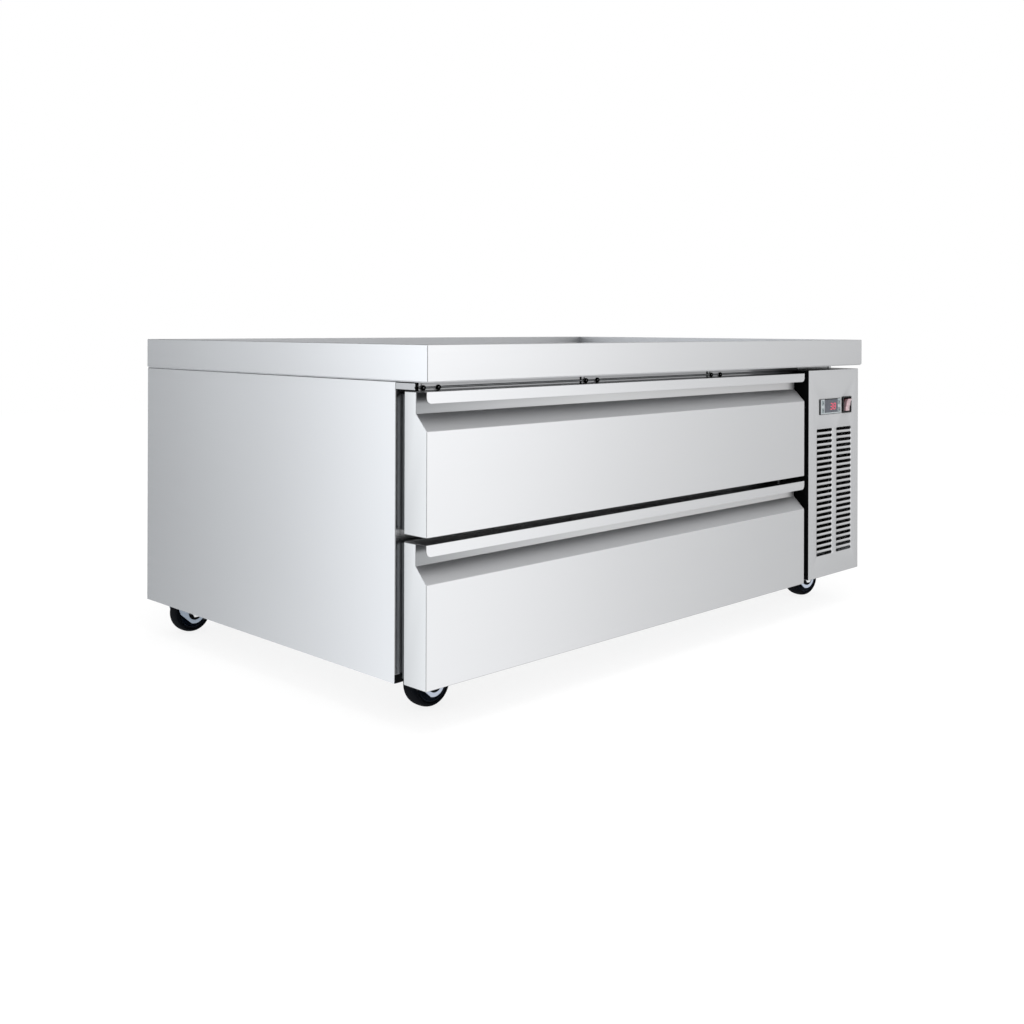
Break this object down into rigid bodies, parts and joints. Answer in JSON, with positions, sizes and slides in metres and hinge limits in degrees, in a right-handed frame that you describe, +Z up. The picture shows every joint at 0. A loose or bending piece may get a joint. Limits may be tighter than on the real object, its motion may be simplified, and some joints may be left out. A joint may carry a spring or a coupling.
{
  "type": "refrigerated chef base",
  "caption": "Low refrigerated equipment stand on swivel casters: recessed stainless worktop, wide drawers with lip pulls, louvred machine panel with controller and power switch.",
  "frame": {"origin": "on the floor under the middle of the cabinet", "axes": "+X along the width, to the right as seen from the front; -Y towards the person who opens the drawers; +Z up"},
  "size_m": [1.232, 0.8188, 0.556],
  "materials": {
    "brushed_stainless": "satin",
    "liner_steel": "satin",
    "bright_zinc": "satin",
    "liner_plastic": "satin",
    "foam_board": "matte",
    "gasket_vinyl": "matte",
    "black_plastic": "satin",
    "button_plastic": "satin",
    "red_plastic": "gloss",
    "caster_rubber": "satin",
    "black_enamel": "gloss",
    "copper_tube": "satin",
    "painted_sheet": "satin",
    "fan_plastic": "satin"
  },
  "bodies": {
    "cabinet": {"worktop": "brushed_stainless", "worktop_core": "foam_board", "left_side_panel": "brushed_stainless", "right_side_panel": "brushed_stainless", "back_panel": "liner_steel", "base_panel": "liner_steel", "cabinet_floor": "liner_plastic", "left_wall": "liner_plastic", "divider_wall": "liner_plastic", "back_wall": "liner_plastic", "front_frame": "brushed_stainless", "top_rail": "brushed_stainless", "rail_bracket_1": "bright_zinc", "rail_bracket_2": "bright_zinc", "rail_bracket_3": "bright_zinc", "machine_panel": "brushed_stainless", "controller_body": "black_plastic", "switch_frame": "black_plastic", "condenser_coil": "copper_tube", "fan_shroud": "painted_sheet", "fan_motor": "black_enamel", "compressor": "black_enamel", "evaporator_cover": "liner_steel", "evaporator_coil": "copper_tube", "cable_gland": "black_plastic", "upper_left_fixed_slide": "bright_zinc", "upper_right_fixed_slide": "bright_zinc", "lower_left_fixed_slide": "bright_zinc", "lower_right_fixed_slide": "bright_zinc", "front_left_caster_plate": "bright_zinc", "front_right_caster_plate": "bright_zinc", "rear_left_caster_plate": "bright_zinc", "rear_right_caster_plate": "bright_zinc"},
    "upper_drawer": {"upper_drawer_front": "brushed_stainless", "upper_drawer_core": "liner_plastic", "upper_drawer_gasket": "gasket_vinyl", "upper_drawer_box": "liner_steel"},
    "upper_middle_slides": {"upper_left_middle_slide": "bright_zinc", "upper_right_middle_slide": "bright_zinc"},
    "lower_drawer": {"lower_drawer_front": "brushed_stainless", "lower_drawer_core": "liner_plastic", "lower_drawer_gasket": "gasket_vinyl", "lower_drawer_box": "liner_steel"},
    "lower_middle_slides": {"lower_left_middle_slide": "bright_zinc", "lower_right_middle_slide": "bright_zinc"},
    "rocker": {"rocker": "red_plastic"},
    "left_upper_button": {"left_upper_button": "button_plastic"},
    "left_lower_button": {"left_lower_button": "button_plastic"},
    "right_upper_button": {"right_upper_button": "button_plastic"},
    "right_lower_button": {"right_lower_button": "button_plastic"},
    "condenser_fan": {"condenser_fan": "fan_plastic"},
    "evaporator_fan": {"evaporator_fan": "fan_plastic"},
    "front_left_caster_fork": {"front_left_caster_fork": "bright_zinc"},
    "front_left_caster_wheel": {"front_left_caster_wheel": "caster_rubber"},
    "front_right_caster_fork": {"front_right_caster_fork": "bright_zinc"},
    "front_right_caster_wheel": {"front_right_caster_wheel": "caster_rubber"},
    "rear_left_caster_fork": {"rear_left_caster_fork": "bright_zinc"},
    "rear_left_caster_wheel": {"rear_left_caster_wheel": "caster_rubber"},
    "rear_right_caster_fork": {"rear_right_caster_fork": "bright_zinc"},
    "rear_right_caster_wheel": {"rear_right_caster_wheel": "caster_rubber"}
  },
  "joints": [
    {"name": "upper_drawer_slide", "type": "slide", "parent": "cabinet", "child": "upper_drawer", "axis": [0, -1, 0], "range_m": [0, 0.53]},
    {"name": "upper_middle_slide", "type": "slide", "parent": "cabinet", "child": "upper_middle_slides", "axis": [0, -1, 0], "range_m": [0, 0.265]},
    {"name": "lower_drawer_slide", "type": "slide", "parent": "cabinet", "child": "lower_drawer", "axis": [0, -1, 0], "range_m": [0, 0.53]},
    {"name": "lower_middle_slide", "type": "slide", "parent": "cabinet", "child": "lower_middle_slides", "axis": [0, -1, 0], "range_m": [0, 0.265]},
    {"name": "rocker_pivot", "type": "hinge", "parent": "cabinet", "child": "rocker", "pos_m": [0.5565, -0.4014, 0.41925], "axis": [1, 0, 0], "range_deg": [-24, 0]},
    {"name": "left_upper_button_push", "type": "slide", "parent": "cabinet", "child": "left_upper_button", "axis": [0, 1, 0], "range_m": [0, 0.0008], "stiffness_N_per_m": 800, "springref_m": -0.0005},
    {"name": "left_lower_button_push", "type": "slide", "parent": "cabinet", "child": "left_lower_button", "axis": [0, 1, 0], "range_m": [0, 0.0008], "stiffness_N_per_m": 800, "springref_m": -0.0005},
    {"name": "right_upper_button_push", "type": "slide", "parent": "cabinet", "child": "right_upper_button", "axis": [0, 1, 0], "range_m": [0, 0.0008], "stiffness_N_per_m": 800, "springref_m": -0.0005},
    {"name": "right_lower_button_push", "type": "slide", "parent": "cabinet", "child": "right_lower_button", "axis": [0, 1, 0], "range_m": [0, 0.0008], "stiffness_N_per_m": 800, "springref_m": -0.0005},
    {"name": "condenser_fan_spin", "type": "hinge", "parent": "cabinet", "child": "condenser_fan", "pos_m": [0.5011, -0.2394, 0.2278], "axis": [0, 1, 0], "continuous": true},
    {"name": "evaporator_fan_spin", "type": "hinge", "parent": "cabinet", "child": "evaporator_fan", "pos_m": [0.169, 0.2992, 0.4151], "axis": [0, 1, 0], "continuous": true},
    {"name": "front_left_caster_swivel", "type": "hinge", "parent": "cabinet", "child": "front_left_caster_fork", "pos_m": [-0.5325, -0.292, 0.095], "axis": [0, 0, 1], "continuous": true},
    {"name": "front_left_caster_spin", "type": "hinge", "parent": "front_left_caster_fork", "child": "front_left_caster_wheel", "pos_m": [-0.5175, -0.292, 0.0375], "axis": [0, 1, 0], "continuous": true},
    {"name": "front_right_caster_swivel", "type": "hinge", "parent": "cabinet", "child": "front_right_caster_fork", "pos_m": [0.5394, -0.292, 0.095], "axis": [0, 0, 1], "continuous": true},
    {"name": "front_right_caster_spin", "type": "hinge", "parent": "front_right_caster_fork", "child": "front_right_caster_wheel", "pos_m": [0.55407, -0.29512, 0.0375], "axis": [0.2079, 0.9781, 0], "continuous": true},
    {"name": "rear_left_caster_swivel", "type": "hinge", "parent": "cabinet", "child": "rear_left_caster_fork", "pos_m": [-0.567, 0.357, 0.095], "axis": [0, 0, 1], "continuous": true},
    {"name": "rear_left_caster_spin", "type": "hinge", "parent": "rear_left_caster_fork", "child": "rear_left_caster_wheel", "pos_m": [-0.552, 0.357, 0.0375], "axis": [0, 1, 0], "continuous": true},
    {"name": "rear_right_caster_swivel", "type": "hinge", "parent": "cabinet", "child": "rear_right_caster_fork", "pos_m": [0.567, 0.357, 0.095], "axis": [0, 0, 1], "continuous": true},
    {"name": "rear_right_caster_spin", "type": "hinge", "parent": "rear_right_caster_fork", "child": "rear_right_caster_wheel", "pos_m": [0.552, 0.357, 0.0375], "axis": [0, 1, 0], "continuous": true}
  ],
  "couplings": [
    {"joint": "upper_middle_slide", "follows": "upper_drawer_slide", "ratio": 0.5},
    {"joint": "lower_middle_slide", "follows": "lower_drawer_slide", "ratio": 0.5}
  ]
}
